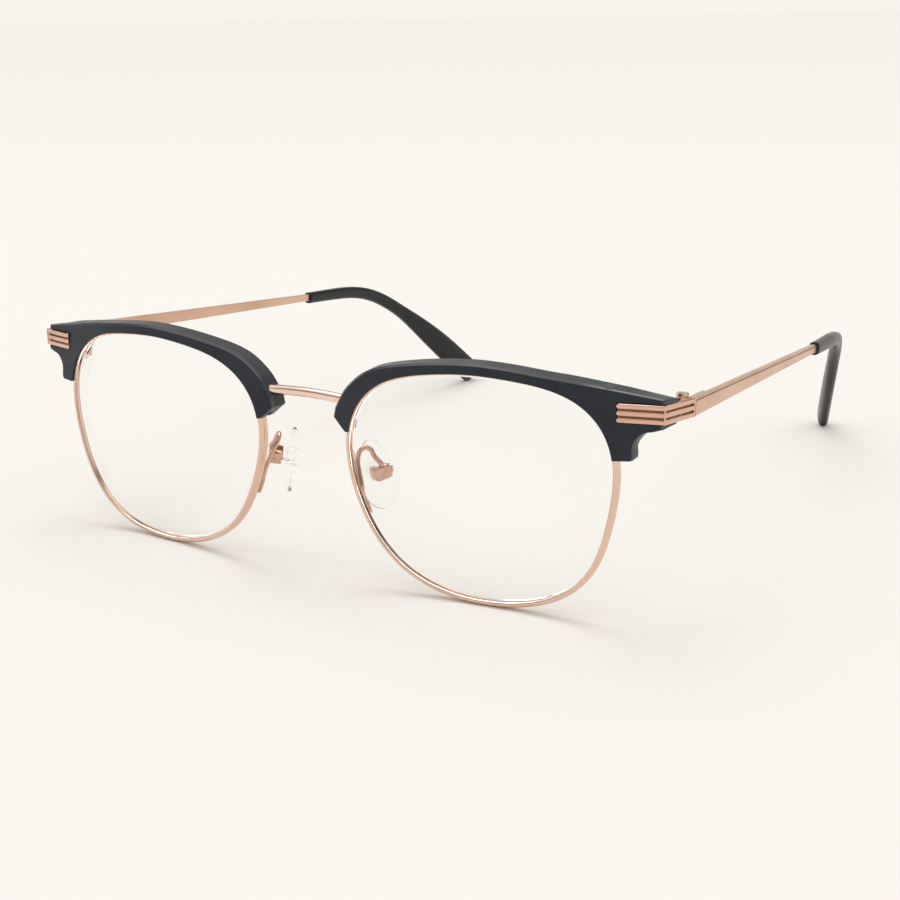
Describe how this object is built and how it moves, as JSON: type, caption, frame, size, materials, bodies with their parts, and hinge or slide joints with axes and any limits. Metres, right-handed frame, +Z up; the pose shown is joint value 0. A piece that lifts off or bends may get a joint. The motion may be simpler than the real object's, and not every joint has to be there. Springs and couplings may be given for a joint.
{
  "type": "browline glasses",
  "caption": "Browline glasses with dark acetate brows over rose metal eyewires, ribbed end pieces, flat metal temples with slim dark tips and clear nose pads.",
  "frame": {"origin": "Middle of the footprint, on the floor that the eyewires and the temple tips stand on.", "axes": "+X towards the wearer's left temple, -Y the way the lenses face, with the temples running back along +Y, and +Z up."},
  "size_m": [0.1374, 0.1492, 0.0434],
  "materials": {
    "rose_metal": "satin rose gold plating on nickel silver",
    "screw_steel": "rose plated steel screws",
    "brow_acetate": "satin blue-black acetate",
    "tip_plastic": "dark grey gloss acetate",
    "lens_clear": "clear coated demo lens",
    "pad_silicone": "clear silicone"
  },
  "bodies": {
    "front": {"rim_left": "rose_metal", "rim_right": "rose_metal", "lens_left": "lens_clear", "lens_right": "lens_clear", "bridge": "rose_metal", "brow_left": "brow_acetate", "brow_right": "brow_acetate", "rim_lock_left": "rose_metal", "rim_lock_right": "rose_metal", "rim_screw_left": "screw_steel", "rim_screw_right": "screw_steel", "brow_tab_left": "rose_metal", "brow_tab_right": "rose_metal", "brow_screws": "screw_steel", "end_piece_left": "rose_metal", "end_piece_right": "rose_metal", "hinge_front_left": "rose_metal", "hinge_front_right": "rose_metal", "hinge_screw_left": "screw_steel", "hinge_screw_right": "screw_steel", "pad_arm_left": "rose_metal", "pad_arm_right": "rose_metal", "pad_box_left": "rose_metal", "pad_box_right": "rose_metal", "pad_screw_left": "screw_steel", "pad_screw_right": "screw_steel"},
    "temple_left": {"temple_left": "rose_metal", "hinge_temple_left": "rose_metal", "temple_tip_left": "tip_plastic"},
    "temple_right": {"temple_right": "rose_metal", "hinge_temple_right": "rose_metal", "temple_tip_right": "tip_plastic"},
    "nose_pad_left": {"nose_pad_left": "pad_silicone", "pad_insert_left": "pad_silicone"},
    "nose_pad_right": {"nose_pad_right": "pad_silicone", "pad_insert_right": "pad_silicone"}
  },
  "joints": [
    {"name": "temple_left_fold", "type": "hinge", "parent": "front", "child": "temple_left", "pos_m": [0.06625, -0.05799, 0.03647], "axis": [-0.0034, 0.0697, 0.9976], "range_deg": [0, 84]},
    {"name": "temple_right_fold", "type": "hinge", "parent": "front", "child": "temple_right", "pos_m": [-0.06625, -0.05799, 0.03647], "axis": [-0.0034, -0.0697, -0.9976], "range_deg": [0, 72]},
    {"name": "nose_pad_left_rock", "type": "hinge", "parent": "front", "child": "nose_pad_left", "pos_m": [0.01179, -0.06584, 0.01948], "axis": [0.4653, 0.8618, 0.2022], "range_deg": [-8, 8]},
    {"name": "nose_pad_right_rock", "type": "hinge", "parent": "front", "child": "nose_pad_right", "pos_m": [-0.01179, -0.06584, 0.01948], "axis": [0.4653, -0.8618, -0.2022], "range_deg": [-8, 8]}
  ]
}
